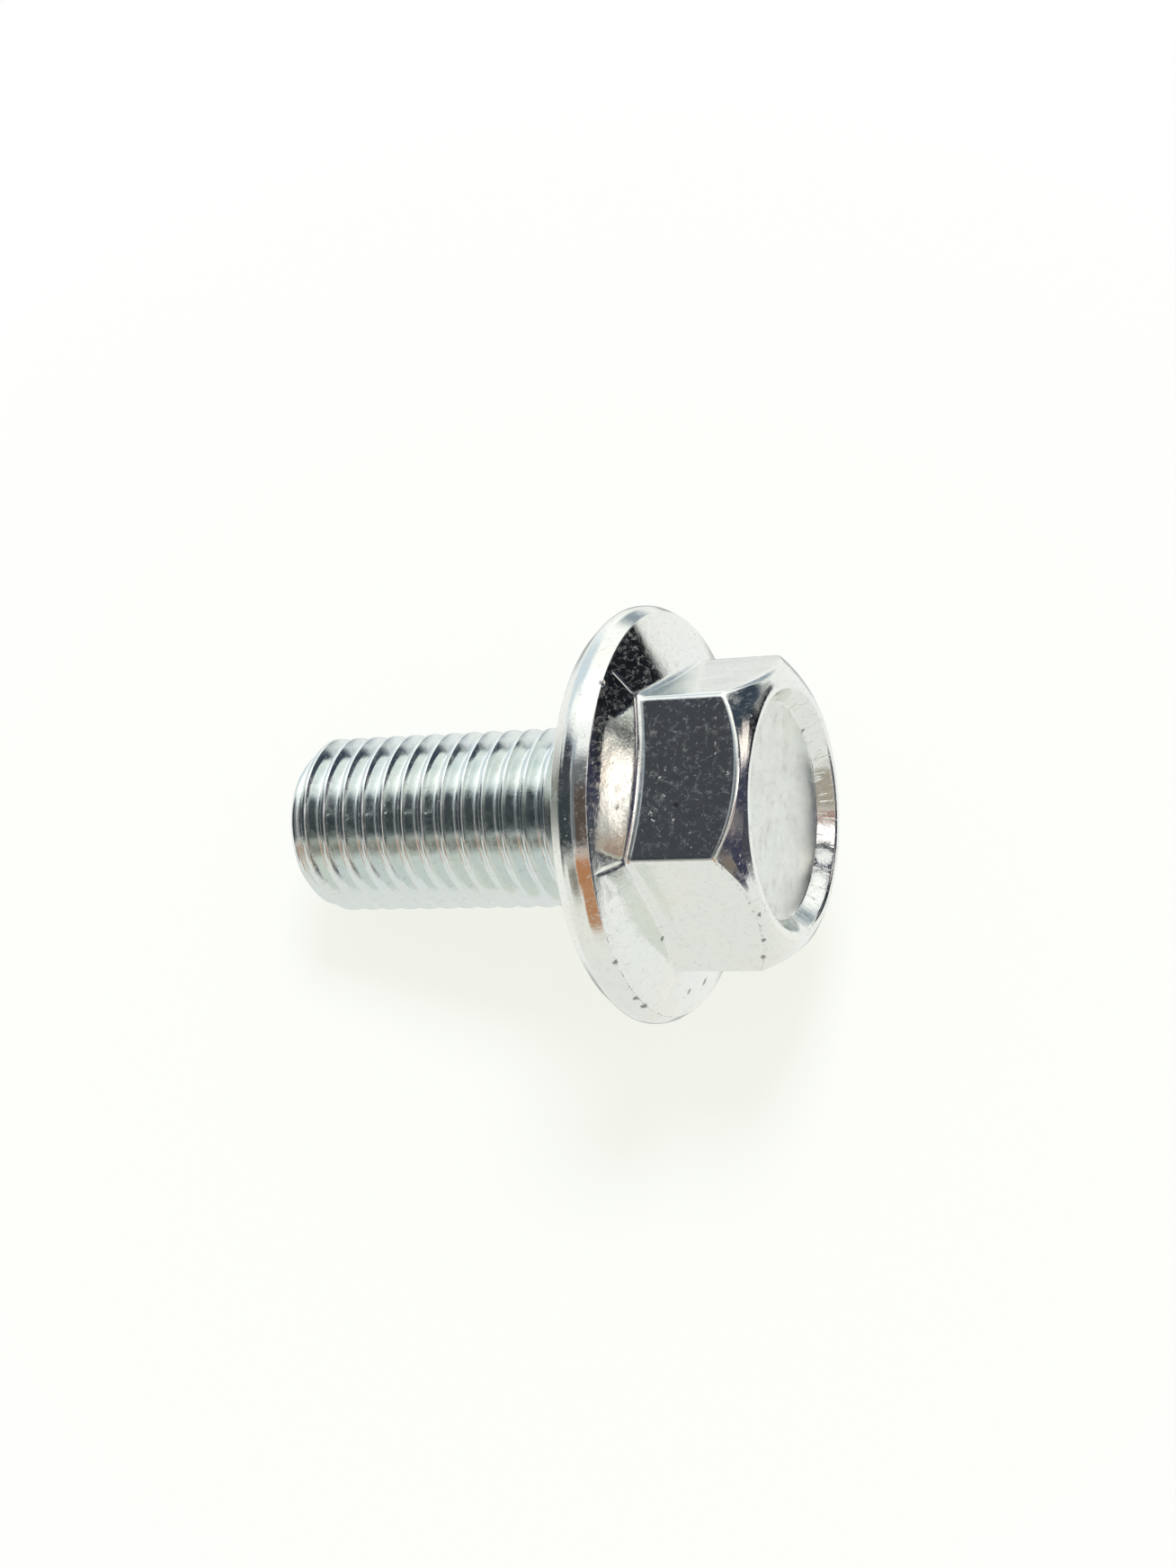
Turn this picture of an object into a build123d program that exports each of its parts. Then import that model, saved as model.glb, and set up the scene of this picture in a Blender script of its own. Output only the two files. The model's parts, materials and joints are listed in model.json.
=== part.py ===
from build123d import *
from math import ceil, radians, tan
import os

# A hexagon flange bolt, M10 x 1.25, threaded along its whole shank.  Millimetres.
# The bolt stands on its head: z = 0 is the plane under the rim of the head, the shank
# points up and the bolt's axis is Z.  Two corners of the hexagon lie on the X axis.

# ---- head ----
width_across_flats = 15.0
head_height = 9.2           # rim of the head to bearing face
rim_diameter = 13.7         # outer edge of the flat rim that the head stands on
rim_width = 0.375           # of that rim, from its outer edge to the mouth of the recess
crown_width = 1.05          # of the flatter part of the chamfer, next to the rim
crown_slope = 34.0          # of that part, from the horizontal
corner_slope = 45.0         # of the chamfer beyond it, at the corners
recess_depth = 0.95
recess_draft = 37.0         # of the recess wall, from the axis

# ---- flange ----
flange_diameter = 22.6      # where the flange's edge bulges most
flange_edge = 2.2           # height of that edge, from the bearing face to the cone
bulge_top = 0.85            # of the band where it is widest, from the bearing face
bulge_bottom = 1.5
cone_inset = 0.37           # of the cone's outer corner, from the widest band
seat_inset = 0.7            # of the bearing face's outer corner, from the widest band
flange_slope = 19.0         # of the cone between edge and hexagon, from the horizontal

# ---- shank and thread ----
shank_length = 19.6         # bearing face to tip, a 20 mm bolt within its tolerance
thread_diameter = 9.9       # over the crests
thread_pitch = 1.25
thread_angle = 60.0
thread_turn = 279.0         # degrees round Z, from +X, to the start of the first groove
crest_share = 0.15          # width of the crest, in pitches
depth_share = 0.41          # depth of the groove to its flat root, in pitches
neck_length = 3.0           # plain neck between bearing face and thread
neck_round = 0.4            # corner between neck and bearing face
tip_diameter = 8.2
tip_slope = 45.0            # of the tip's chamfer, from the axis

# ---- worked out from those sizes ----
seat = head_height
tip = seat + shank_length
flank = tan(radians(thread_angle / 2))
crest_width = crest_share * thread_pitch
crest_radius = thread_diameter / 2
root_radius = crest_radius - depth_share * thread_pitch
root_width = thread_pitch - crest_width - 2 * (crest_radius - root_radius) * flank
# A rolled thread is raised from a blank as thick as its pitch diameter, and the neck
# keeps that thickness.
neck_radius = crest_radius - (thread_pitch / 2 - crest_width) / (2 * flank)
# The solids that make the bolt overlap one another: the neck tapers to this radius inside
# the thread's core, and the hexagon and the shank reach into the middle of the flange.
core_radius = root_radius - crest_width
flange_middle = seat - flange_edge / 2


def turned(outline):
    """A solid turned about Z, from the (radius, height) corners of its half section."""
    corners = [Vector(radius, 0, height) for radius, height in outline]
    return Solid.revolve(Face(Wire.make_polygon(corners)), 360, Axis.Z)


def hexagon_head():
    """The hexagon: recess, rim and crowned chamfer, down into the flange."""
    rim = rim_diameter / 2
    mouth = rim - rim_width
    floor = mouth - recess_depth * tan(radians(recess_draft))
    crown = rim + crown_width
    crown_height = crown_width * tan(radians(crown_slope))
    beyond_corners = width_across_flats
    corner_rise = (beyond_corners - crown) * tan(radians(corner_slope))
    end = turned([
        (0, recess_depth),
        (floor, recess_depth),
        (mouth, 0),
        (rim, 0),
        (crown, crown_height),
        (beyond_corners, crown_height + corner_rise),
        (beyond_corners, flange_middle + beyond_corners),
        (0, flange_middle + beyond_corners),
    ])
    prism = extrude(RegularPolygon(width_across_flats / 2, 6, major_radius=False), flange_middle)
    return end & prism


def flange():
    """The flange with the neck, which tapers into the thread's run-out."""
    widest = flange_diameter / 2
    cone_edge = widest - cone_inset
    cone_top = width_across_flats / 2 - 1
    cone_rise = (cone_edge - cone_top) * tan(radians(flange_slope))
    neck_end = seat + neck_length
    return turned([
        (0, seat - flange_edge - cone_rise),
        (cone_top, seat - flange_edge - cone_rise),
        (cone_edge, seat - flange_edge),
        (widest, seat - bulge_bottom),
        (widest, seat - bulge_top),
        (widest - seat_inset, seat),
        (neck_radius + neck_round, seat),
        (neck_radius, seat + neck_round),
        (neck_radius, neck_end),
        (core_radius, neck_end + thread_pitch),
        (0, neck_end + thread_pitch),
    ])


def groove_turn(height):
    """A solid that cuts one turn of the thread's groove, from this height up."""
    outer = crest_radius + crest_width / 3
    half_root = root_width / 2
    half_mouth = half_root + (outer - root_radius) * flank
    section = Face(Wire.make_polygon([
        Vector(root_radius, 0, height - half_root),
        Vector(outer, 0, height - half_mouth),
        Vector(outer, 0, height + half_mouth),
        Vector(root_radius, 0, height + half_root),
    ]))
    path = Edge.make_helix(thread_pitch, thread_pitch, crest_radius, Vector(0, 0, height))
    return Solid.sweep(section, path, is_frenet=True).rotate(Axis.Z, thread_turn)


def threaded_shank():
    """The shank as thick as the crests, less the helical groove."""
    thread_start = seat + neck_length
    tip_radius = tip_diameter / 2
    blank = turned([
        (0, flange_middle),
        (core_radius, flange_middle),
        (core_radius, thread_start),
        (crest_radius, thread_start + crest_radius - core_radius),
        (crest_radius, tip - (crest_radius - tip_radius) / tan(radians(tip_slope))),
        (tip_radius, tip),
        (0, tip),
    ])
    groove_start = thread_start - thread_pitch
    turn_count = ceil((tip - groove_start) / thread_pitch) + 1
    first = groove_turn(groove_start)
    turns = [first.moved(Location((0, 0, k * thread_pitch))) for k in range(turn_count)]
    return blank.cut(*turns)


bolt = hexagon_head() + flange() + threaded_shank()

os.makedirs("parts", exist_ok=True)
export_step(bolt, "parts/flange_bolt.step")
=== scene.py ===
# %% [markdown]
# # A flange bolt in bright zinc
# The bolt is one piece of steel: a hexagon head with a washer-like flange is forged on the end of a
# rod, the thread is rolled onto the rod, and the whole bolt is dipped in a zinc bath.  The packed
# model is a fixed frame that gives its size and place, and this script dresses it.

# %% Load the frame
import json
import math
import bmesh
import bpy
import numpy as np
from mathutils import Matrix, Vector, noise


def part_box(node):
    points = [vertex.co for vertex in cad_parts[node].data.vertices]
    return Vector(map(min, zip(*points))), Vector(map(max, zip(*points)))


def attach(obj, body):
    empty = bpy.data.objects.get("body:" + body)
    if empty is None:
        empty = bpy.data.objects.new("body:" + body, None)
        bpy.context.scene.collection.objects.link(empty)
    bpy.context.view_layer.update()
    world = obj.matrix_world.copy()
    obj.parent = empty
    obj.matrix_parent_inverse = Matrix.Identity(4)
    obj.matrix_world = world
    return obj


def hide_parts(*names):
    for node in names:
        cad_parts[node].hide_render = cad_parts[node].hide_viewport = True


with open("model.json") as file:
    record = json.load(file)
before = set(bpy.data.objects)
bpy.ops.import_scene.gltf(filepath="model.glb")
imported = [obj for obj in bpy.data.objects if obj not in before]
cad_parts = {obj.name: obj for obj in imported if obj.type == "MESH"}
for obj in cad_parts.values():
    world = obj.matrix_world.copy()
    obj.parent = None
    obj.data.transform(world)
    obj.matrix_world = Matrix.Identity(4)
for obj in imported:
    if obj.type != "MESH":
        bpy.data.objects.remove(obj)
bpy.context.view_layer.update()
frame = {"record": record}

# %% [markdown]
# ## Sizes
# The big sizes come from the frame, so the dressed bolt can't drift away from it.  The small ones
# are written here: some, such as the recess and the thread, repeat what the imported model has, and
# others, such as most of the rounds that forging leaves on edges, belong to the look alone.  All are
# in millimetres, because that is how a bolt is measured, and the mesh is made in metres at the end.

# %% Sizes in millimetres
MM = 0.001
mounts = {m["name"]: m for m in frame["record"]["mounts"]}
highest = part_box("flange_bolt")[1]

widest = highest.x / MM                                 # of the flange, where its edge bulges
tip_height = highest.z / MM
seat_height = mounts["bearing_seat"]["pos_m"][2] / MM   # the face that clamps
flat_distance = -mounts["wrench_flat"]["pos_m"][1] / MM   # from the axis to a flat

rim_radius = 6.85
rim_width = 0.375
recess_depth = 0.95
recess_taper = 0.716       # how much narrower the recess is at its floor
recess_floor_radius = rim_radius - rim_width - recess_taper
cone_edge = widest - 0.37  # crisp corner between the flange's cone and its edge
seat_edge = widest - 0.7
flange_edge = 2.2          # from that corner to the seat, along the axis
cone_start = 8.4           # the cone begins at about this radius, beside the hexagon
cone_slope = math.tan(math.radians(19))
cone_bend = 9.5            # from here out, the cone is slightly dished
cone_dish = 0.026          # rise in mm for each square of the mm past that
chamfer_slope = 0.485
chamfer_crown = 0.18       # how fast the chamfer steepens on its way out
neck_end = seat_height + 2.0
crest_radius = 4.95
neck_radius = 4.573
pitch = 1.25
crest_height = 12.829      # of one crest where it crosses the +X side
root_round = 0.18
for what, size in (("across flats", 2 * flat_distance), ("head", seat_height), ("tip", tip_height)):
    print(what, round(size, 2), "mm")

# %% [markdown]
# ## The hexagon's outline
# Seen along the axis, a flat is a straight line, and in polar form its radius is the distance to
# the flat divided by a cosine.  Forging never fills a die's corner fully, so each corner is an arc.
# The columns of the mesh crowd towards the six corners, where the outline turns fastest.

# %% Columns and the hexagon's radius
STEPS_TO_FLAT = 20         # columns from a corner to the middle of a flat
corner_round = 0.4

eased = np.radians(30) * (np.arange(STEPS_TO_FLAT + 1) / STEPS_TO_FLAT) ** 1.6
half_sector = np.concatenate([eased[:-1], np.radians(60) - eased[:0:-1]])
columns = np.concatenate([half_sector + np.radians(60) * k for k in range(6)])


def hexagon_radius(angle):
    """Distance from the axis to the rounded hexagon's outline, at this angle."""
    from_corner = np.abs((angle + np.pi / 6) % (np.pi / 3) - np.pi / 6)
    centre = (flat_distance - corner_round) / math.cos(math.pi / 6)
    tangent = math.atan2(corner_round / 2, centre + corner_round * math.cos(math.pi / 6))
    on_flat = flat_distance / np.cos(np.pi / 6 - from_corner)
    inside = np.maximum(corner_round ** 2 - (centre * np.sin(from_corner)) ** 2, 0)
    on_arc = centre * np.cos(from_corner) + np.sqrt(inside)
    return np.where(from_corner < tangent, on_arc, on_flat)


print(len(columns), "columns, corner at", round(float(hexagon_radius(np.array([0.0]))[0]), 3), "mm")

# %% [markdown]
# ## A half section with rounded corners
# A turned shape is a half section spun about the axis.  Sharp corners catch no light and look like
# plastic, so each corner of the section becomes an arc, and every straight leg is cut into steps
# that later carry the small waves of a forged surface.

# %% Rounding a section
def rounded_section(corners, rounds, steps, arc_steps=5):
    """Points along a section: corners are (radius, height), with a round and leg steps for each."""
    corners = [np.array(c, float) for c in corners]
    points = [corners[0]]
    for k in range(1, len(corners)):
        start, corner = points[-1], corners[k]
        if k == len(corners) - 1:
            arc = [corner]
        else:
            back, ahead = corners[k - 1] - corner, corners[k + 1] - corner
            back, ahead = back / np.linalg.norm(back), ahead / np.linalg.norm(ahead)
            half = math.acos(np.clip(back @ ahead, -1, 1)) / 2
            reach = rounds[k] / math.tan(half)
            centre = corner + (back + ahead) / np.linalg.norm(back + ahead) * rounds[k] / math.sin(half)
            first, last = corner + back * reach - centre, corner + ahead * reach - centre
            blend = np.linspace(0, 1, arc_steps + 1)[:, None]
            arc = first * (1 - blend) + last * blend
            arc = centre + arc / np.linalg.norm(arc, axis=1)[:, None] * rounds[k]
        leg = np.linspace(0, 1, steps[k] + 1)[1:-1, None]
        points += list(start + (arc[0] - start) * leg) + list(arc)
    return np.array(points)


def chamfer_height(radius):
    """Height of the crowned chamfer, which is flat next to the rim and steep at the corners."""
    out = radius - rim_radius
    return chamfer_slope * out + chamfer_crown * out ** 2


def cone_height(radius):
    """Height of the flange's cone, which rises towards the edge and gets a little steeper there."""
    dish = cone_dish * np.maximum(radius - cone_bend, 0) ** 2
    edge_dish = cone_dish * (cone_edge - cone_bend) ** 2
    return seat_height - flange_edge - (cone_edge - radius) * cone_slope + dish - edge_dish


def head_section(hexagon):
    """The head's half section where the hexagon is this far from the axis."""
    between = [rim_radius + (hexagon - rim_radius) * t for t in (0.3, 0.6)]
    rows = [
        # radius, height, round, leg steps
        (0, recess_depth, 0, 1),
        (recess_floor_radius, recess_depth, 0.1, 14),
        (rim_radius - rim_width, 0, 0.3, 4),
        (rim_radius, 0, 0.45, 2),
        (between[0], chamfer_height(between[0]), 0.6, 3),
        (between[1], chamfer_height(between[1]), 0.6, 3),
        (hexagon, chamfer_height(hexagon), 0.42, 4),
        (hexagon, cone_height(hexagon), 0.5, 14),
        (cone_bend, cone_height(cone_bend), 3, 8),
        (10.1, cone_height(10.1), 6, 3),
        (10.5, cone_height(10.5), 6, 3),
        (cone_edge, cone_height(cone_edge), 0.08, 3),
        (widest, seat_height - 1.5, 0.9, 5),
        (widest, seat_height - 0.85, 0.7, 4),
        (seat_edge, seat_height, 0.2, 6),
        (neck_radius, seat_height, 0.4, 12),
        (neck_radius, neck_end, 0, 5),
    ]
    corners = [(row[0], row[1]) for row in rows]
    return rounded_section(corners, [row[2] for row in rows], [row[3] for row in rows])


section = head_section(flat_distance)
print("head section has", len(section), "points")

# %% [markdown]
# ## The thread
# A rolled thread is a helix, so a mesh of flat rings would cut across its crests and leave steps.
# Here the rows of the mesh climb with the helix: one pitch for each turn, so that a row always
# lies on the same line of the profile.  Crests and roots are rounded, as the rollers leave them.

# %% Thread profile
flank_slope = math.tan(math.radians(60))
crest_half = 0.06          # half of the crest's flat top
flank_start = 0.135        # the straight flank begins this far from the crest's middle
crest_drop = 0.055         # and this far below its top
root_half = root_round * math.cos(math.radians(30))
flank_end = crest_drop + (pitch / 2 - root_half - flank_start) * flank_slope
thread_depth = flank_end + root_round / 2

half_profile = [
    # distance from the crest's middle, and depth below its top
    (0.0, 0.0),
    (crest_half, 0.003),
    (0.10, 0.019),
    (flank_start, crest_drop),
    (0.3, crest_drop + (0.3 - flank_start) * flank_slope),
    (pitch / 2 - root_half, flank_end),
    (pitch / 2 - root_round * 0.5, thread_depth - root_round * (1 - math.cos(math.radians(30)))),
]
across = np.array(
    [p[0] for p in half_profile] + [pitch / 2] + [pitch - p[0] for p in half_profile[:0:-1]])
depths = np.array(
    [p[1] for p in half_profile] + [thread_depth] + [p[1] for p in half_profile[:0:-1]])
print("thread depth", round(thread_depth, 3), "mm,", len(across), "rows in a pitch")

tip_radius = 4.1
tip_round = 0.12
run_out = 1.3              # the thread grows to its full depth over this length


def thread_radius(angle, height):
    """Radius of the threaded shank, with its run-out at the neck and its chamfered tip."""
    phase = (height - crest_height - pitch * angle / (2 * np.pi)) % pitch
    profile = crest_radius - np.interp(phase, np.append(across, pitch), np.append(depths, 0.0))
    rise = np.clip((height - neck_end) / run_out, 0, 1)
    rise = rise * rise * (3 - 2 * rise)
    radius = neck_radius + (profile - neck_radius) * rise
    return np.minimum(radius, tip_radius + (tip_height - height))


# %% [markdown]
# ## Building the mesh
# The head, the thread and the end face are three grids that share their edge rings, so they weld
# into one closed skin.  The thread's rows are clamped between the neck and the tip: the parts of
# the helix that run past a ring fall onto it and weld there, which ends the helix cleanly.

# %% Grids of points
def on_axis(angle, radius, height):
    """Points from polar form, in millimetres."""
    return np.stack([radius * np.cos(angle), radius * np.sin(angle), height], axis=-1)


SEAM_DEPTHS = (0.008, 0.02, 0.012, 0.018, 0.03, 0.04)   # one for each corner of the hexagon
SEAM_START, SEAM_END, SEAM_FADE, SEAM_HALF_WIDTH = 8.8, 10.75, 0.3, 0.12


def seam_depth(angle, radius):
    """The fine grooves that the forging die leaves on the cone, out from the hexagon's corners."""
    from_corner = np.abs((angle + np.pi / 6) % (np.pi / 3) - np.pi / 6) * radius
    along = np.clip(np.minimum(radius - SEAM_START, SEAM_END - radius) / SEAM_FADE, 0, 1)
    corner = np.round(angle / (np.pi / 3)).astype(int) % 6
    depth = np.array(SEAM_DEPTHS)[corner]
    return depth * along * np.clip(1 - from_corner / SEAM_HALF_WIDTH, 0, 1)


def head_grid():
    """The head and the neck: a half section at every column, with the seams pressed into the cone."""
    sections = np.array([head_section(r) for r in hexagon_radius(columns)])
    radius, height = sections[..., 0], sections[..., 1]
    on_cone = (height > cone_height(cone_start)) & (height < cone_height(cone_edge) + 0.02)
    height = height + on_cone * seam_depth(columns[:, None], radius)
    return on_axis(columns[:, None], radius, height)


def thread_grid():
    """The shank from the neck to the tip, in rows that climb with the helix."""
    first_turn = math.floor((neck_end - crest_height) / pitch) - 1
    last_turn = math.ceil((tip_height - crest_height) / pitch) + 1
    turns = range(first_turn, last_turn)
    rows = np.concatenate([crest_height + pitch * turn + across for turn in turns])
    heights = rows[None, :] + pitch * columns[:, None] / (2 * np.pi)
    heights = np.clip(heights, neck_end, tip_height - tip_round)
    angles = np.broadcast_to(columns[:, None], heights.shape)
    return on_axis(angles, thread_radius(angles, heights), heights)


def end_grid():
    """The end face and the small round at its edge."""
    top = tip_height - tip_round
    corner = (tip_radius, tip_height)
    section = rounded_section(
        [(tip_radius + tip_round, top), corner, (0, tip_height)], [0, 0.1, 0], [1, 1, 10], arc_steps=3)
    angles = np.broadcast_to(columns[:, None], (len(columns), len(section)))
    return on_axis(angles, section[None, :, 0], np.broadcast_to(section[:, 1], angles.shape))


def quads(grid, first, row_shift=0):
    """Faces between neighbouring columns; the last column meets the first, some rows higher."""
    count, rows = grid.shape[:2]
    index = first + np.arange(count * rows).reshape(count, rows)
    faces = []
    for i in range(count):
        after = index[(i + 1) % count]
        shift = row_shift if i == count - 1 else 0
        here = index[i]
        for j in range(rows - 1 - shift):
            faces.append((here[j], after[j + shift], after[j + 1 + shift], here[j + 1]))
    return faces


grids = [head_grid(), thread_grid(), end_grid()]
points, faces = [], []
for grid, row_shift in zip(grids, (0, len(across), 0)):
    faces += quads(grid, sum(len(p) for p in points), row_shift)
    points.append(grid.reshape(-1, 3))
points = np.concatenate(points)
print(len(points), "points and", len(faces), "faces before welding")

# %% Weld into one skin
WELD_REACH = 0.0015        # points nearer than this many mm become one
SHORTEST_EDGE = 0.0005

mesh = bpy.data.meshes.new("flange_bolt_dressed")
mesh.from_pydata((points * MM).tolist(), [], faces)
work = bmesh.new()
work.from_mesh(mesh)
bmesh.ops.remove_doubles(work, verts=work.verts, dist=WELD_REACH * MM)
bmesh.ops.dissolve_degenerate(work, edges=work.edges, dist=SHORTEST_EDGE * MM)
bmesh.ops.recalc_face_normals(work, faces=work.faces)
open_edges = sum(1 for e in work.edges if len(e.link_faces) != 2)
print(len(work.verts), "points,", len(work.faces), "faces, open edges:", open_edges)

# %% [markdown]
# ## Dents and an uneven forging
# A bolt that has been in a box with others has small dents, most of them where the edges stand out.
# They are pushed into the mesh, which is first cut finer round each one, so that they catch light
# from any side.  Then the whole head gets waves about a hundredth of a millimetre high, because a
# forged face is never flat.  A bump texture could draw both, but real dents also change the outline.

# %% Dents
dents = [
    # bearing round the axis in degrees, radius and height, then the dent's reach and depth, in mm
    (-147, 10.95, 7.04, 0.3, 0.03), (-164, 11.0, 7.1, 0.3, 0.04), (-170, 11.0, 7.1, 0.4, 0.05),
    (165, 9.6, 6.55, 0.35, 0.05), (152, 9.5, 6.5, 0.45, 0.05), (-159, 7.9, 5.95, 0.25, 0.04),
    (-164, 7.7, 0.55, 0.3, 0.06), (-173, 8.15, 0.95, 0.35, 0.07), (-150, 7.3, 0.3, 0.25, 0.04),
    (28, 5.8, 0.9, 0.2, 0.04), (-66, 10.9, 7.05, 0.3, 0.04), (-101, 7.6, 3.6, 0.3, 0.02),
    (70, 11.0, 7.1, 0.4, 0.06), (12, 8.4, 4.2, 0.35, 0.05), (118, 8.6, 2.3, 0.3, 0.06),
    (40, 10.2, 9.2, 0.4, 0.04), (205, 7.4, 9.2, 0.3, 0.04), (86, 7.7, 0.5, 0.35, 0.05),
]
# a row of nicks beside the thread's crests, where something once rubbed along the shank
NICK_BEARINGS = (-96, -95.5, -94, -95.5, -98, -94)
FIRST_NICKED_TURN = 5
for turn, side in enumerate(NICK_BEARINGS, start=FIRST_NICKED_TURN):
    crest = crest_height + pitch * (turn + side / 360)
    dents.append((side, crest_radius - 0.17, crest + 0.2, 0.22, 0.08))


def place_on_bolt(side, radius, level):
    """A point in millimetres, from its bearing in degrees, its radius and its height."""
    angle = math.radians(side)
    return Vector((radius * math.cos(angle), radius * math.sin(angle), level))


CUTS_IN_A_DENT = 3
CUT_MARGIN = 1.3           # the finer mesh reaches a little past the dent
LOPSIDED = 0.35            # how far a dent's outline is from a circle
for side, radius, level, dent_radius, depth in dents:
    centre = place_on_bolt(side, radius, level) * MM
    reach = dent_radius * MM
    near = [f for f in work.faces if (f.calc_center_median() - centre).length < reach * CUT_MARGIN]
    edges = list({e for f in near for e in f.edges})
    bmesh.ops.subdivide_edges(work, edges=edges, cuts=CUTS_IN_A_DENT, use_grid_fill=True)
    touched = [v for v in work.verts if (v.co - centre).length < reach]
    work.normal_update()
    inward = -sum((v.normal for v in touched), Vector()).normalized()
    skew = Vector((math.sin(side), math.cos(side * 2), math.sin(side * 3)))
    for vertex in touched:
        offset = vertex.co - centre
        away = offset.length / reach * (1 + LOPSIDED * offset.normalized().dot(skew))
        vertex.co += inward * depth * MM * max(0.0, 1 - away * away) ** 2
print(len(dents), "dents,", len(work.faces), "faces")

# %% Forging waves
WAVE_SCALE, WAVE_HEIGHT = 0.55, 0.012
RIPPLE_SCALE, RIPPLE_HEIGHT = 1.7, 0.003
SINK = 0.006               # lowers them all, so that the crests stay near the bolt's true size
wave_seed = Vector((3, 7, 1))

work.normal_update()
moves = []
for vertex in work.verts:
    on_head = min(1.0, max(0.0, (neck_end * MM - vertex.co.z) / MM))
    wave = noise.noise(vertex.co / MM * WAVE_SCALE + wave_seed)
    ripple = noise.noise(vertex.co / MM * RIPPLE_SCALE)
    swell = WAVE_HEIGHT * wave + RIPPLE_HEIGHT * ripple - SINK
    moves.append(vertex.normal * swell * MM * on_head)
for vertex, move in zip(work.verts, moves):
    vertex.co += move
    vertex.co.z = max(vertex.co.z, 0.0)
bmesh.ops.recalc_face_normals(work, faces=work.faces)
print("lowest point, mm:", round(min(v.co.z for v in work.verts) / MM, 4))

# %% [markdown]
# ## Where the edges are worn
# Plating is thinnest on an outside edge, and that is also where a bolt rubs against its neighbours.
# Each point of the mesh keeps a value that says how worn it is: high in the dents, along the edge of
# the flange's cone and along the edge of the chamfer.  The material turns it into small dark marks.

# %% Wear of each point
CHAMFER_WEAR, CHAMFER_REACH = 0.6, 0.32   # strength at the edge, and how many mm it spreads
CONE_WEAR, CONE_REACH = 0.58, 0.16
DENT_WEAR = 0.75
WORN_SIDE = math.radians(200)             # this side of the bolt has rubbed the most
SHANK_FROM_SEAT = 0.3                     # the shank keeps a wear of 0

wear = work.verts.layers.float.new("wear")
dent_places = [(place_on_bolt(*dent[:3]), dent[3]) for dent in dents]
for vertex in work.verts:
    spot = vertex.co / MM
    if spot.z > seat_height + SHANK_FROM_SEAT:
        continue
    angle, radius = math.atan2(spot.y, spot.x), math.hypot(spot.x, spot.y)
    corner = float(hexagon_radius(angle))
    off_chamfer = math.hypot(radius - corner, spot.z - float(chamfer_height(corner)))
    off_cone = math.hypot(radius - cone_edge, spot.z - float(cone_height(cone_edge)))
    rubbed = 0.75 + 0.25 * math.cos(angle - WORN_SIDE)
    on_chamfer = CHAMFER_WEAR * rubbed * (1 - off_chamfer / CHAMFER_REACH)
    on_cone = CONE_WEAR * rubbed * (1 - off_cone / CONE_REACH)
    in_dent = max(
        DENT_WEAR * (1 - ((spot - centre).length / reach) ** 2) for centre, reach in dent_places)
    vertex[wear] = max(0.0, on_chamfer, on_cone, in_dent)
print("worn points:", sum(1 for v in work.verts if v[wear] > 0.3))

# %% Into a mesh object
triangles = sum(len(f.verts) - 2 for f in work.faces)
open_edges = sum(1 for e in work.edges if len(e.link_faces) != 2)
print("triangles:", triangles, "open edges:", open_edges)
work.to_mesh(mesh)
work.free()
mesh.shade_smooth()
bolt = bpy.data.objects.new("flange_bolt_dressed", mesh)
bpy.context.collection.objects.link(bolt)

# %% [markdown]
# ## The room that the zinc mirrors
# Bright zinc has almost no colour of its own: what is seen is the room.  A white studio tent gives
# soft light from all sides, and the open side where the viewer stands shows as a dark band in the
# metal, with a lit opening and something brown in it.  Real cards could stand round the bolt, but
# the world shader can hold them with no geometry.  Each card is a patch of directions with soft
# edges, given by its bearing round the bolt and its height above or below the viewer.

# %% The studio's axes
towards_viewer = Vector((-0.2355, -0.8710, -0.4312)).normalized()
above = Vector((0.9690, -0.2444, -0.0355))
above = (above - above.dot(towards_viewer) * towards_viewer).normalized()
to_the_right = above.cross(towards_viewer)
print("studio axes:", [tuple(round(c, 3) for c in v) for v in (to_the_right, above, towards_viewer)])


# %% Small helpers for shader nodes
def add_node(tree, kind, **values):
    """A new node with these settings."""
    node = tree.nodes.new(kind)
    for name, value in values.items():
        setattr(node, name, value)
    return node


def feed(tree, target, source):
    """Gives an input a link, if the source is a socket, or else a plain value."""
    if isinstance(source, bpy.types.NodeSocket):
        tree.links.new(source, target)
    else:
        target.default_value = source


def maths(tree, operation, *sources):
    """The output of a Math node; each source is a number or a socket."""
    node = add_node(tree, "ShaderNodeMath", operation=operation)
    for socket, source in zip(node.inputs, sources):
        feed(tree, socket, source)
    return node.outputs[0]


def vector_maths(tree, operation, *sources):
    """The output of a Vector Math node; each source is a vector or a socket."""
    node = add_node(tree, "ShaderNodeVectorMath", operation=operation)
    for socket, source in zip(node.inputs, sources):
        feed(tree, socket, source)
    return node.outputs["Value" if operation == "DOT_PRODUCT" else "Vector"]


def smooth_range(tree, value, low, high, to_low=0.0, to_high=1.0):
    """Goes smoothly from to_low to to_high as the value goes from low to high."""
    node = add_node(tree, "ShaderNodeMapRange", interpolation_type="SMOOTHSTEP")
    names = ("Value", "From Min", "From Max", "To Min", "To Max")
    for name, source in zip(names, (value, low, high, to_low, to_high)):
        feed(tree, node.inputs[name], source)
    return node.outputs["Result"]


def mix_colours(tree, factor, first, second):
    """The first colour where the factor is 0, and the second where it is 1."""
    node = add_node(tree, "ShaderNodeMix", data_type="RGBA")
    feed(tree, node.inputs["Factor"], factor)
    feed(tree, node.inputs[6], first)
    feed(tree, node.inputs[7], second)
    return node.outputs[2]


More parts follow.
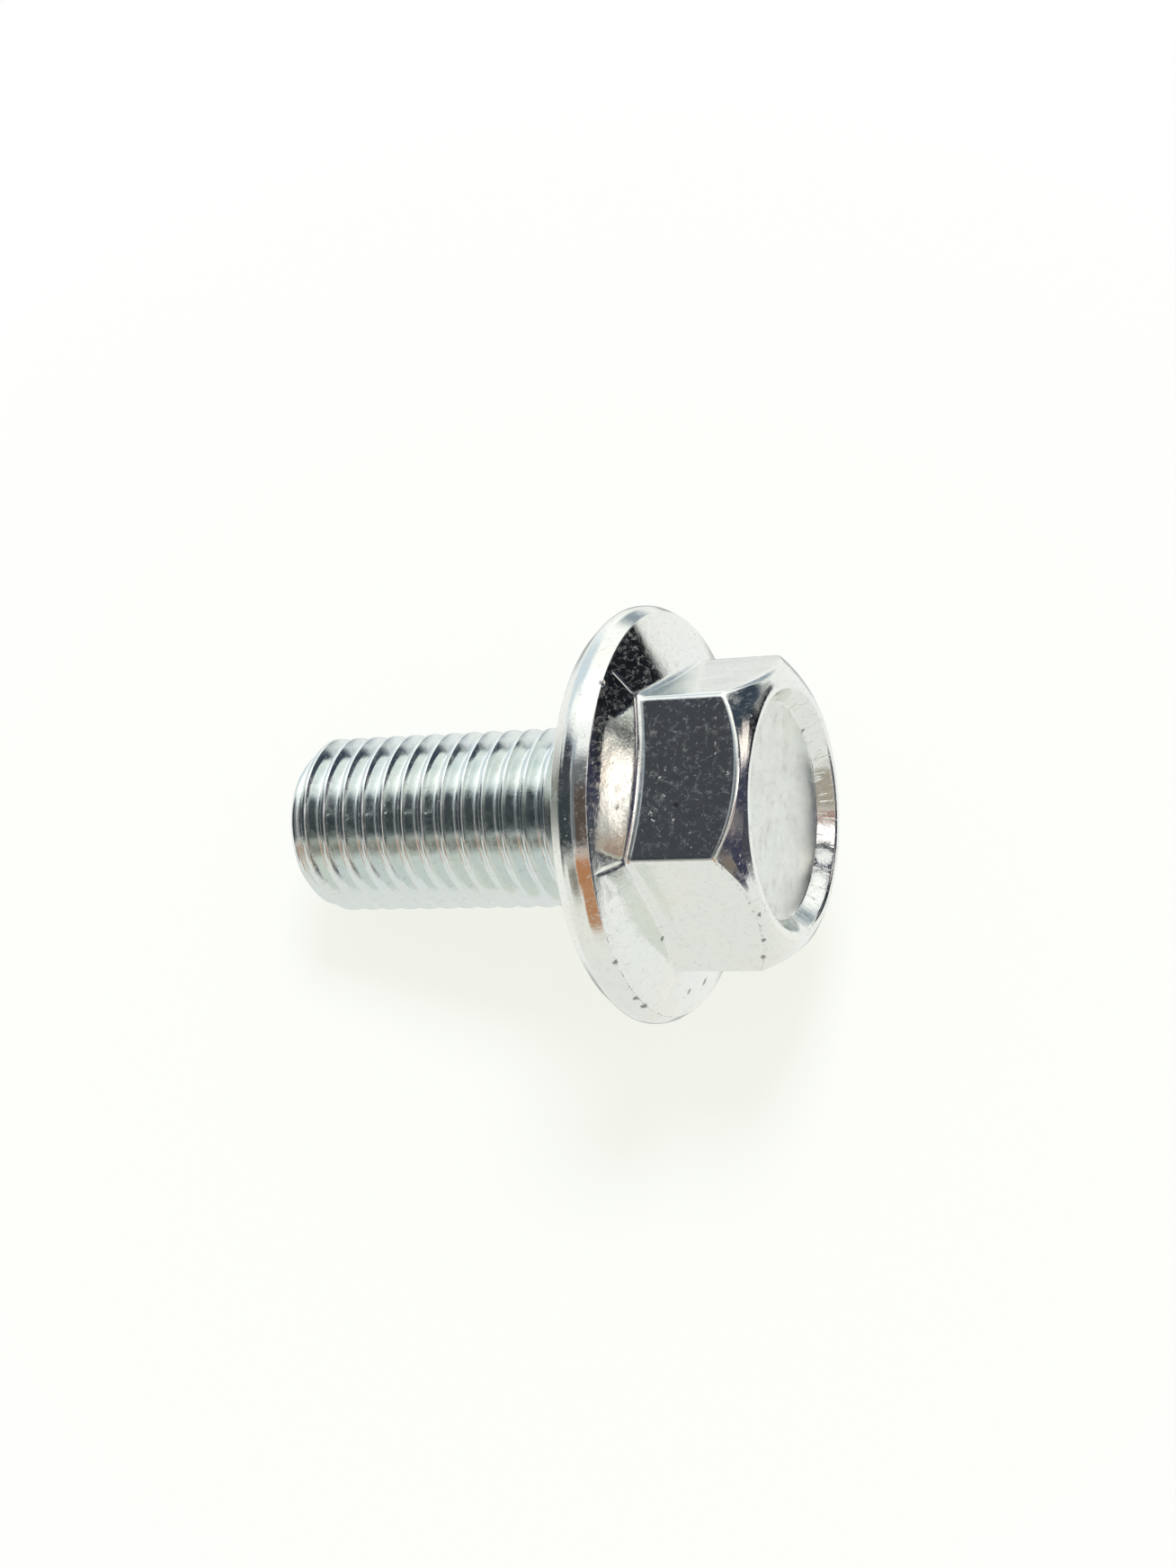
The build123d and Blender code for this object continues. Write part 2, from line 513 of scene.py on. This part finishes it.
def new_group(name, inputs, outputs):
    """A shader node group with float or vector sockets, and its input and output nodes."""
    group = bpy.data.node_groups.new(name, "ShaderNodeTree")
    for direction, sockets in (("INPUT", inputs), ("OUTPUT", outputs)):
        for socket, kind in sockets.items():
            group.interface.new_socket(socket, in_out=direction, socket_type="NodeSocket" + kind)
    entry = group.nodes.new("NodeGroupInput").outputs
    leave = group.nodes.new("NodeGroupOutput").inputs
    return group, entry, leave


def place_group(tree, group, **values):
    """The outputs of a group that gets these values; an underscore stands for a space."""
    node = add_node(tree, "ShaderNodeGroup", node_tree=group)
    for name, source in values.items():
        feed(tree, node.inputs[name.replace("_", " ")], source)
    return node.outputs


# %% One soft card, as a node group
card_group, entry, leave = new_group(
    "Soft card",
    {"Bearing": "Float", "Height": "Float", "Left": "Float", "Right": "Float",
     "Bottom": "Float", "Top": "Float", "Side edge": "Float", "Level edge": "Float"},
    {"Mask": "Float"})


def edge_mask(tree, value, limit, softness, sign):
    """1 on the inner side of a limit, 0 on the outer side, with a soft step between."""
    inward = maths(tree, "MULTIPLY", maths(tree, "SUBTRACT", value, limit), sign)
    return smooth_range(tree, inward, maths(tree, "MULTIPLY", softness, -1.0), softness)


sides = maths(
    card_group, "MULTIPLY",
    edge_mask(card_group, entry["Bearing"], entry["Left"], entry["Side edge"], 1.0),
    edge_mask(card_group, entry["Bearing"], entry["Right"], entry["Side edge"], -1.0))
levels = maths(
    card_group, "MULTIPLY",
    edge_mask(card_group, entry["Height"], entry["Bottom"], entry["Level edge"], 1.0),
    edge_mask(card_group, entry["Height"], entry["Top"], entry["Level edge"], -1.0))
card_group.links.new(maths(card_group, "MULTIPLY", sides, levels), leave["Mask"])
print(card_group.name, "has", len(card_group.nodes), "nodes")

# %% World
world = bpy.data.worlds.new("studio")
bpy.context.scene.world = world
world.use_nodes = True
tree = world.node_tree
tree.nodes.clear()
direction = vector_maths(tree, "NORMALIZE", add_node(tree, "ShaderNodeTexCoord").outputs["Generated"])
rightward = vector_maths(tree, "DOT_PRODUCT", direction, tuple(to_the_right))
upward = vector_maths(tree, "DOT_PRODUCT", direction, tuple(above))
backward = vector_maths(tree, "DOT_PRODUCT", direction, tuple(towards_viewer))
TO_DEGREES = 180 / math.pi
bearing = maths(tree, "MULTIPLY", maths(tree, "ARCTAN2", rightward, backward), TO_DEGREES)
height = maths(tree, "MULTIPLY", maths(tree, "ARCSINE", upward), TO_DEGREES)

tent_below = (0.845, 0.845, 0.83, 1)
tent_level = (0.95, 0.95, 0.95, 1)
tent_above = (1.14, 1.14, 1.14, 1)
tent = mix_colours(tree, smooth_range(tree, height, -40.0, -5.0), tent_below, tent_level)
tent = mix_colours(tree, smooth_range(tree, height, 25.0, 55.0), tent, tent_above)

cards = [
    # colour, from and to bearing, from and to height, softness of the sides and of the levels
    ((0.70, 0.79, 0.88), -155, -85, 32, 75, 15, 12),      # cool corner of the tent
    ((0.38, 0.43, 0.50), -80, -5, 24, 41, 12, 6),         # cool haze over the open side
    ((0.20, 0.21, 0.19), -138, -100, -5, 11, 9, 6),       # the open side, fading out on the left
    ((0.042, 0.052, 0.060), -112, -20, -19, 22, 12, 7),   # the open side
    ((0.058, 0.062, 0.075), -76, -34, 10, 37, 6, 5),      # and its higher part
    ((0.27, 0.25, 0.22), -60, -16, -42, -23, 9, 7),       # pale brown table beyond it
    ((0.17, 0.18, 0.20), -22, 13, -14, 31, 6, 5),         # where the viewer stands
    ((0.10, 0.075, 0.065), -3, 11, -14, 17, 4, 6),
    ((0.47, 0.22, 0.11), -14, 16, -37, -17, 6, 5),        # brown, seen in the flange's edge
    ((0.47, 0.24, 0.13), 3, 25, -55, -33, 5, 4),
    ((0.050, 0.051, 0.088), 44, 76, -30, 48, 3, 5),       # dark curtain on the right
    ((0.050, 0.051, 0.088), 74, 100, -3, 48, 3, 5),
    ((0.06, 0.065, 0.085), 70, 88, -17, 4, 4, 4),
    ((0.008, 0.010, 0.014), 88, 123, 8, 32, 3.5, 5),      # its darkest fold
    ((0.042, 0.058, 0.085), 66, 118, 33, 52, 6, 4),       # its blue upper edge
    ((0.19, 0.17, 0.18), 55, 68, -7, 3, 4, 4),            # pale folds
    ((0.52, 0.43, 0.40), 42, 53, -6, 7, 4, 4),
    ((0.22, 0.18, 0.16), 47, 60, -31, -17, 4, 4),
    ((1.25, 1.12, 1.08), 66, 86, 19, 33, 4, 4),           # a fold of the curtain that catches light
    ((0.40, 0.36, 0.30), 25, 39, -30, 2, 4, 4),           # wall below the opening
    ((0.40, 0.25, 0.21), 24, 42, 3, 13, 4, 3),
    ((0.08, 0.08, 0.09), 27, 46, 27, 32, 4, 2),
    ((2.5, 2.1, 2.05), 31, 44, 15.5, 24.8, 3, 2.5),       # lit opening
    ((0.31, 0.37, 0.43), 122, 172, 38, 58, 10, 8),
    ((1.55, 1.50, 1.56), -52, 45, 52, 76, 9, 5),          # lamp bank over the viewer
]
room = tent
for colour, left, right, bottom, top, side_edge, level_edge in cards:
    mask = place_group(
        tree, card_group, Bearing=bearing, Height=height, Left=left, Right=right,
        Bottom=bottom, Top=top, Side_edge=side_edge, Level_edge=level_edge)["Mask"]
    room = mix_colours(tree, mask, room, (*colour, 1))

# straight behind the bolt the tent is in shade; only the bolt's outlines mirror that part
far_side = smooth_range(tree, backward, -0.88, -0.975)
room = mix_colours(tree, far_side, room, (0.42, 0.44, 0.43, 1))

light_path = add_node(tree, "ShaderNodeLightPath").outputs
seen_directly = maths(tree, "MAXIMUM", light_path["Is Camera Ray"], light_path["Is Transmission Ray"])
seen_in_metal = light_path["Is Glossy Ray"]
plain_light = (0.9, 0.9, 0.9, 1)
white = (1, 1, 1, 1)
surroundings = mix_colours(tree, seen_in_metal, plain_light, room)
surroundings = mix_colours(tree, seen_directly, surroundings, white)
background = add_node(tree, "ShaderNodeBackground")
tree.links.new(surroundings, background.inputs["Color"])
output = add_node(tree, "ShaderNodeOutputWorld")
tree.links.new(background.outputs[0], output.inputs["Surface"])
print(len(cards), "cards in the room")

# %% [markdown]
# ## Zinc plate as a material
# Plated steel is all reflection, so its look lies in how even the mirror is.  The plate has a fine
# grain and cloudy patches, the forging under it has shallow waves, and handling leaves hair-thin
# scratches and small dark marks on the worn edges.  Each of these is a node group, so that three
# materials use them with their own values: the forged head, the rolled shank, and the recess floor,
# which is the dullest.  Pictures could be wrapped round the bolt, but they would show seams, so the
# textures are worked out in millimetres, in the bolt's own frame.

# %% Position in millimetres
def millimetres(tree):
    """The place on the bolt in millimetres, as a socket."""
    metres = add_node(tree, "ShaderNodeTexCoord").outputs["Object"]
    return vector_maths(tree, "MULTIPLY", metres, (1000.0,) * 3)


def noise_texture(tree, where, scale, detail=3.0, roughness=0.55, distortion=0.0):
    """Soft noise from 0 to 1."""
    node = add_node(tree, "ShaderNodeTexNoise")
    names = ("Vector", "Scale", "Detail", "Roughness", "Distortion")
    for name, source in zip(names, (where, scale, detail, roughness, distortion)):
        feed(tree, node.inputs[name], source)
    return node.outputs["Fac"]


# %% Plate grain and forging waves
grain_group, entry, leave = new_group(
    "Plate grain",
    {"Position": "Vector", "Grain size": "Float", "Grain depth": "Float", "Wave size": "Float",
     "Wave depth": "Float", "Speck size": "Float", "Speck depth": "Float"},
    {"Height": "Float"})
grain_scale = maths(grain_group, "DIVIDE", 1.0, entry["Grain size"])
wave_scale = maths(grain_group, "DIVIDE", 1.0, entry["Wave size"])
speck_scale = maths(grain_group, "DIVIDE", 1.0, entry["Speck size"])
fine = noise_texture(grain_group, entry["Position"], grain_scale, 2.5, 0.6)
waves = noise_texture(grain_group, entry["Position"], wave_scale, 2.0, 0.5)
cells = add_node(grain_group, "ShaderNodeTexVoronoi", feature="F1")
warp = add_node(grain_group, "ShaderNodeTexNoise")
feed(grain_group, warp.inputs["Vector"], entry["Position"])
feed(grain_group, warp.inputs["Scale"], 5.0)
warped = vector_maths(grain_group, "MULTIPLY", warp.outputs["Color"], (0.5, 0.5, 0.5))
feed(grain_group, cells.inputs["Vector"], vector_maths(grain_group, "ADD", entry["Position"], warped))
feed(grain_group, cells.inputs["Scale"], speck_scale)
chance = add_node(grain_group, "ShaderNodeSeparateColor")
grain_group.links.new(cells.outputs["Color"], chance.inputs[0])
pick = smooth_range(grain_group, chance.outputs[0], 0.84, 0.98)      # few cells hold a speck
round_speck = smooth_range(grain_group, cells.outputs["Distance"], 0.24, 0.08)
specks = maths(grain_group, "MULTIPLY", round_speck, pick)
layers = ((fine, "Grain depth"), (waves, "Wave depth"), (specks, "Speck depth"))
total = 0.0
for layer, depth in layers:
    total = maths(grain_group, "MULTIPLY_ADD", layer, entry[depth], total)
grain_group.links.new(total, leave["Height"])
print(grain_group.name, "has", len(grain_group.nodes), "nodes")

# %% Cloudy plate
cloud_group, entry, leave = new_group(
    "Cloudy plate",
    {"Position": "Vector", "Smoothest": "Float", "Roughest": "Float", "Blotch": "Float"},
    {"Tint": "Float", "Roughness": "Float", "Blotches": "Float"})
clouds = noise_texture(cloud_group, entry["Position"], 0.35, 3.0)
uneven = noise_texture(cloud_group, entry["Position"], 0.9, 4.0)
patchy = noise_texture(cloud_group, entry["Position"], 1.4, 4.0, 0.62)
tint = smooth_range(cloud_group, clouds, 0.35, 0.65)
even = smooth_range(cloud_group, uneven, 0.3, 0.7, entry["Smoothest"], entry["Roughest"])
blotches = smooth_range(cloud_group, patchy, 0.5, 0.78, 0.0, entry["Blotch"])
for result, name in ((tint, "Tint"), (even, "Roughness"), (blotches, "Blotches")):
    cloud_group.links.new(result, leave[name])
print(cloud_group.name, "has", len(cloud_group.nodes), "nodes")

# %% Hair-thin scratches
SCRATCH_FINENESS = 9.0     # noise steps in a millimetre, across a scratch

scratch_group, entry, leave = new_group(
    "Handling scratches",
    {"Position": "Vector", "Length": "Float", "Amount": "Float"}, {"Mask": "Float"})
scratches = 0.0
for turn, offset in ((0.5, 3.0), (1.4, 17.0), (2.5, 29.0)):
    rotate = add_node(scratch_group, "ShaderNodeVectorRotate", rotation_type="EULER_XYZ")
    feed(scratch_group, rotate.inputs["Vector"], entry["Position"])
    rotate.inputs["Rotation"].default_value = (turn, offset, turn * 2)
    stretch = add_node(scratch_group, "ShaderNodeCombineXYZ")
    feed(scratch_group, stretch.inputs["X"], maths(scratch_group, "DIVIDE", 1.0, entry["Length"]))
    stretch.inputs["Y"].default_value = SCRATCH_FINENESS
    stretch.inputs["Z"].default_value = SCRATCH_FINENESS
    where = vector_maths(scratch_group, "MULTIPLY", rotate.outputs[0], stretch.outputs[0])
    line = noise_texture(scratch_group, where, 1.0, 1.0, 0.5, 0.15)
    ridge = maths(scratch_group, "ABSOLUTE", maths(scratch_group, "SUBTRACT", line, 0.5))
    strong = smooth_range(scratch_group, noise_texture(scratch_group, where, 0.35, 1.0), 0.57, 0.66)
    mark = maths(scratch_group, "MULTIPLY", smooth_range(scratch_group, ridge, 0.012, 0.0), strong)
    scratches = maths(scratch_group, "MAXIMUM", scratches, mark)
scratch_group.links.new(maths(scratch_group, "MULTIPLY", scratches, entry["Amount"]), leave["Mask"])
print(scratch_group.name, "has", len(scratch_group.nodes), "nodes")

# %% Worn marks
wear_group, entry, leave = new_group(
    "Worn marks", {"Position": "Vector", "Wear": "Float"}, {"Mask": "Float"})
broken = noise_texture(wear_group, entry["Position"], 3.6, 6.0, 0.8, 0.8)
strength = maths(wear_group, "ADD", maths(wear_group, "MULTIPLY", broken, 1.3), entry["Wear"])
wear_group.links.new(smooth_range(wear_group, strength, 1.12, 1.3), leave["Mask"])
print(wear_group.name, "has", len(wear_group.nodes), "nodes")

# %% Ticks on the recess wall
TICK_FINENESS = 30.0       # noise steps in a radian round the wall
TICK_STRETCH = 0.8         # noise steps in a millimetre of radius, so few that ticks are lines

tick_group, entry, leave = new_group(
    "Radial ticks", {"Position": "Vector", "Depth": "Float"}, {"Height": "Float"})
spot = add_node(tick_group, "ShaderNodeSeparateXYZ")
tick_group.links.new(entry["Position"], spot.inputs[0])
turn = maths(tick_group, "ARCTAN2", spot.outputs["Y"], spot.outputs["X"])
flat_spot = vector_maths(tick_group, "MULTIPLY", entry["Position"], (1.0, 1.0, 0.0))
length = add_node(tick_group, "ShaderNodeVectorMath", operation="LENGTH")
tick_group.links.new(flat_spot, length.inputs[0])
from_axis = length.outputs["Value"]
polar = add_node(tick_group, "ShaderNodeCombineXYZ")
tick_group.links.new(maths(tick_group, "MULTIPLY", turn, TICK_FINENESS), polar.inputs["X"])
tick_group.links.new(maths(tick_group, "MULTIPLY", from_axis, TICK_STRETCH), polar.inputs["Y"])
lines = smooth_range(tick_group, noise_texture(tick_group, polar.outputs[0], 1.0, 2.0), 0.58, 0.72)
wall_middle = rim_radius - rim_width - recess_taper / 2
past_middle = maths(tick_group, "SUBTRACT", from_axis, wall_middle)
off_wall = maths(tick_group, "ABSOLUTE", past_middle)
in_width = smooth_range(tick_group, off_wall, recess_taper * 0.75, recess_taper * 0.4)
in_recess = maths(tick_group, "LESS_THAN", spot.outputs["Z"], recess_depth + 0.1)
on_wall = maths(tick_group, "MULTIPLY", in_width, in_recess)
ticks_on_wall = maths(tick_group, "MULTIPLY", lines, on_wall)
tick_group.links.new(maths(tick_group, "MULTIPLY", ticks_on_wall, entry["Depth"]), leave["Height"])
print(tick_group.name, "has", len(tick_group.nodes), "nodes")


# %% Zinc materials
MARK_COLOUR = (0.27, 0.28, 0.27, 1)
SCRATCH_DEPTH = 0.0012     # in millimetres
SCUFF_ROUGHNESS = 0.12     # what a scratch or a mark adds
BLOTCH_ROUGHNESS = 0.22    # what the dullest patch adds


def zinc_material(name, tints, grain, waves, specks, roughness, scratch_length, ticks=0):
    """Plated steel; grain, waves and specks are each a size and a depth in millimetres, the tints
    are two colours that the plate drifts between, and roughness is its least and most."""
    material = bpy.data.materials.new(name)
    material.use_nodes = True
    tree = material.node_tree
    shader = tree.nodes["Principled BSDF"]
    where = millimetres(tree)
    plate = place_group(
        tree, grain_group, Position=where, Grain_size=grain[0], Grain_depth=grain[1],
        Wave_size=waves[0], Wave_depth=waves[1], Speck_size=specks[0], Speck_depth=specks[1])
    scratch = place_group(
        tree, scratch_group, Position=where, Length=scratch_length, Amount=1.0)["Mask"]
    cloudy = place_group(
        tree, cloud_group, Position=where, Smoothest=roughness[0], Roughest=roughness[1],
        Blotch=BLOTCH_ROUGHNESS)
    colour = mix_colours(tree, cloudy["Tint"], *tints)
    # dark rubs use the scratches of another place; worn edges add their own marks
    elsewhere = vector_maths(tree, "ADD", where, (13.0, 5.0, 7.0))
    rubs = place_group(tree, scratch_group, Position=elsewhere, Length=0.9, Amount=0.7)["Mask"]
    worn = add_node(tree, "ShaderNodeAttribute", attribute_name="wear").outputs["Fac"]
    worn = place_group(tree, wear_group, Position=where, Wear=worn)["Mask"]
    marks = maths(tree, "MAXIMUM", rubs, worn)
    colour = mix_colours(tree, marks, colour, MARK_COLOUR)
    feed(tree, shader.inputs["Base Color"], colour)
    shader.inputs["Metallic"].default_value = 1.0
    scuffed = maths(tree, "MULTIPLY", maths(tree, "MAXIMUM", scratch, marks), SCUFF_ROUGHNESS)
    dulled = maths(tree, "MAXIMUM", scuffed, cloudy["Blotches"])
    rough = maths(tree, "ADD", cloudy["Roughness"], dulled)
    feed(tree, shader.inputs["Roughness"], rough)
    bump = add_node(tree, "ShaderNodeBump")
    bump.inputs["Strength"].default_value = 1.0
    bump.inputs["Distance"].default_value = MM
    grooves = maths(tree, "MULTIPLY", scratch, SCRATCH_DEPTH)
    relief = maths(tree, "SUBTRACT", plate["Height"], grooves)
    if ticks:
        tick_relief = place_group(tree, tick_group, Position=where, Depth=ticks)["Height"]
        relief = maths(tree, "ADD", relief, tick_relief)
    feed(tree, bump.inputs["Height"], relief)
    tree.links.new(bump.outputs["Normal"], shader.inputs["Normal"])
    return material


forged_zinc = zinc_material(
    "forged_zinc", ((0.85, 0.885, 0.845, 1), (0.87, 0.89, 0.82, 1)),
    grain=(0.17, 0.004), waves=(1.1, 0.007), specks=(0.33, 0.011), roughness=(0.04, 0.10),
    scratch_length=2.2, ticks=0.02)
# the shank's tints are darker and bluer than the head's: this difference is painted shade, which makes
# the thread read darker
rolled_zinc_painted_shade = zinc_material(
    "rolled_zinc_painted_shade", ((0.78, 0.84, 0.83, 1), (0.79, 0.84, 0.80, 1)),
    grain=(0.12, 0.003), waves=(0.9, 0.004), specks=(0.5, 0.005), roughness=(0.09, 0.16),
    scratch_length=1.5)
# the punch that forms the recess leaves its floor duller than the rest
pressed_zinc = zinc_material(
    "pressed_zinc", ((0.86, 0.90, 0.85, 1), (0.87, 0.90, 0.83, 1)),
    grain=(0.2, 0.004), waves=(1.1, 0.005), specks=(0.33, 0.006), roughness=(0.33, 0.41),
    scratch_length=1.2)
for material in (forged_zinc, rolled_zinc_painted_shade, pressed_zinc):
    mesh.materials.append(material)
FORGED, ROLLED, PRESSED = range(3)
for face in mesh.polygons:
    radius = math.hypot(face.center.x, face.center.y)
    on_shank = face.center.z > (seat_height + 0.2) * MM
    on_recess_floor = face.center.z < 2 * MM and radius < (recess_floor_radius - 0.03) * MM
    if on_shank:
        face.material_index = ROLLED
    elif on_recess_floor:
        face.material_index = PRESSED
    else:
        face.material_index = FORGED
print("materials:", [m.name for m in mesh.materials])

# %% [markdown]
# ## Stage
# The bolt stands on its head on a pale floor, and is looked at from below and from the side, as if
# it lay on a sheet of paper.  So the floor shows only from above, and the paper shows only to a ray
# that has come through the floor's back.  Both melt into the white around them.

# %% Floor and paper
def round_sheet(name, radius, centre, outward):
    """A flat disc that faces outward; it is only for the picture and isn't a part of the bolt."""
    sheet = bpy.data.meshes.new(name)
    work = bmesh.new()
    bmesh.ops.create_circle(work, cap_ends=True, radius=radius, segments=64)
    work.to_mesh(sheet)
    work.free()
    thing = bpy.data.objects.new(name, sheet)
    turn = outward.to_track_quat("Z", "Y").to_matrix().to_4x4()
    thing.matrix_world = Matrix.Translation(centre) @ turn
    bpy.context.collection.objects.link(thing)
    return thing


def pale_material(name, albedo, glow, fade_from, fade_to, shown):
    """White that takes a shadow, and fades into the white behind it; shown says where it is seen."""
    material = bpy.data.materials.new(name)
    material.use_nodes = True
    tree = material.node_tree
    tree.nodes.clear()
    diffuse = add_node(tree, "ShaderNodeBsdfDiffuse")
    diffuse.inputs["Color"].default_value = (*albedo, 1)
    emission = add_node(tree, "ShaderNodeEmission")
    emission.inputs["Color"].default_value = (*glow, 1)
    both = add_node(tree, "ShaderNodeAddShader")
    tree.links.new(diffuse.outputs[0], both.inputs[0])
    tree.links.new(emission.outputs[0], both.inputs[1])
    distance = add_node(tree, "ShaderNodeVectorMath", operation="LENGTH")
    tree.links.new(add_node(tree, "ShaderNodeTexCoord").outputs["Object"], distance.inputs[0])
    solid = smooth_range(tree, distance.outputs["Value"], fade_to, fade_from)
    light_path = add_node(tree, "ShaderNodeLightPath").outputs
    backfacing = add_node(tree, "ShaderNodeNewGeometry").outputs["Backfacing"]
    front = maths(tree, "SUBTRACT", 1.0, backfacing)
    facing = maths(tree, "MULTIPLY", light_path["Is Camera Ray"], front)
    solid = maths(tree, "MULTIPLY", solid, facing)
    if shown == "through the floor":
        # also the part of the paper that lies below the floor
        passed = maths(tree, "GREATER_THAN", light_path["Transparent Depth"], 0.5)
        spot = add_node(tree, "ShaderNodeSeparateXYZ")
        tree.links.new(add_node(tree, "ShaderNodeNewGeometry").outputs["Position"], spot.inputs[0])
        passed = maths(tree, "MAXIMUM", passed, maths(tree, "LESS_THAN", spot.outputs["Z"], 0.0))
        solid = maths(tree, "MULTIPLY", solid, passed)
    mix = add_node(tree, "ShaderNodeMixShader")
    feed(tree, mix.inputs[0], solid)
    tree.links.new(add_node(tree, "ShaderNodeBsdfTransparent").outputs[0], mix.inputs[1])
    tree.links.new(both.outputs[0], mix.inputs[2])
    output = add_node(tree, "ShaderNodeOutputMaterial")
    tree.links.new(mix.outputs[0], output.inputs["Surface"])
    return material


floor = round_sheet("floor", 0.4, Vector((0, 0, 0)), Vector((0, 0, 1)))
floor.data.materials.append(pale_material(
    "pale_floor", albedo=(0.45, 0.45, 0.44), glow=(0.42, 0.42, 0.42), fade_from=0.05, fade_to=0.25,
    shown="from above"))

# the paper leans on the flange's edge and on the thread near its tip
paper_side = math.radians(105)
lean = math.atan((widest - crest_radius) / (tip_height - seat_height))
across_lean, up_lean = math.cos(lean), math.sin(lean)
away = Vector((across_lean * math.cos(paper_side), across_lean * math.sin(paper_side), up_lean))
flange_level = seat_height - 1.2
touching = Vector((widest * math.cos(paper_side), widest * math.sin(paper_side), flange_level))
middle_level = 12
middle = away * touching.dot(away)
middle = middle + (Vector((0, 0, middle_level)) - away * away.z * middle_level)
paper = round_sheet("paper", 0.12, middle * MM, -away)
paper.data.materials.append(pale_material(
    "white_paper", albedo=(0.105, 0.10, 0.13), glow=(0.805, 0.825, 0.735), fade_from=0.03,
    fade_to=0.075, shown="through the floor"))
print("paper leans", round(math.degrees(lean), 1), "degrees")

# %% [markdown]
# ## Lamps
# The lamps over a table throw the bolt's shadow on what it lies on.  The room in the world shader
# could throw one too, but an even room has almost no shadow.  So two square lamps are added, one for
# the paper and one for the floor.  They are much wider than the bolt, which keeps the edges of the
# shadows soft, and the metal doesn't mirror them, because the room has cards for that.

# %% Lamps for the two sheets
def lamp(name, direction, distance, size, power):
    """A soft square lamp that faces the bolt's middle, and is not mirrored in it."""
    data = bpy.data.lights.new(name, "AREA")
    data.size = size
    data.energy = power
    thing = bpy.data.objects.new(name, data)
    aim = Vector((0, 0, tip_height / 2)) * MM
    thing.matrix_world = (
        Matrix.Translation(aim + direction.normalized() * distance)
        @ direction.to_track_quat("Z", "Y").to_matrix().to_4x4())
    thing.visible_glossy = False
    bpy.context.collection.objects.link(thing)
    return thing


lamp("lamp_over_paper", above * 1.45 + towards_viewer, distance=1.0, size=0.36, power=10)
lamp("lamp_over_floor", Vector((0.5, 0.3, 1.6)), distance=1.0, size=0.4, power=5)

# %% [markdown]
# ## Camera
# The bolt is looked at from its side and from beyond its head, so that the hexagon, the recess and
# the whole thread show at once.  The camera is only about 12 cm away, which makes the head, the
# nearer end, look a little larger than it would from far off.  The bolt's X axis points up in the
# view, so the bolt seems to lie on its side with its head to the right.

# %% Camera
camera_data = bpy.data.cameras.new("camera")
camera_data.lens = 52.08
camera_data.sensor_width = 36
camera_data.clip_start = 0.01   # the floor is nearer than the usual 0.1 m
camera = bpy.data.objects.new("camera", camera_data)
bpy.context.collection.objects.link(camera)
place = Vector((-27.628, -109.012, -41.657))
forward = Vector((0.23551, 0.87099, 0.43117)).normalized()
up = Vector((0.96902, -0.24443, -0.03551))
right = forward.cross(up).normalized()
up = right.cross(forward)
facing = Matrix((right, up, -forward)).transposed().to_4x4()
camera.matrix_world = Matrix.Translation(place * MM) @ facing
bpy.context.scene.camera = camera
bpy.context.scene.view_settings.view_transform = "Standard"
print("camera is", round(place.length), "mm from the origin, at a height of", round(place.z), "mm")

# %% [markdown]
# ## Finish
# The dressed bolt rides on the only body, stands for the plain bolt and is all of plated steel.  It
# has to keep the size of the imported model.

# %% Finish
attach(bolt, "root")
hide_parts("flange_bolt")
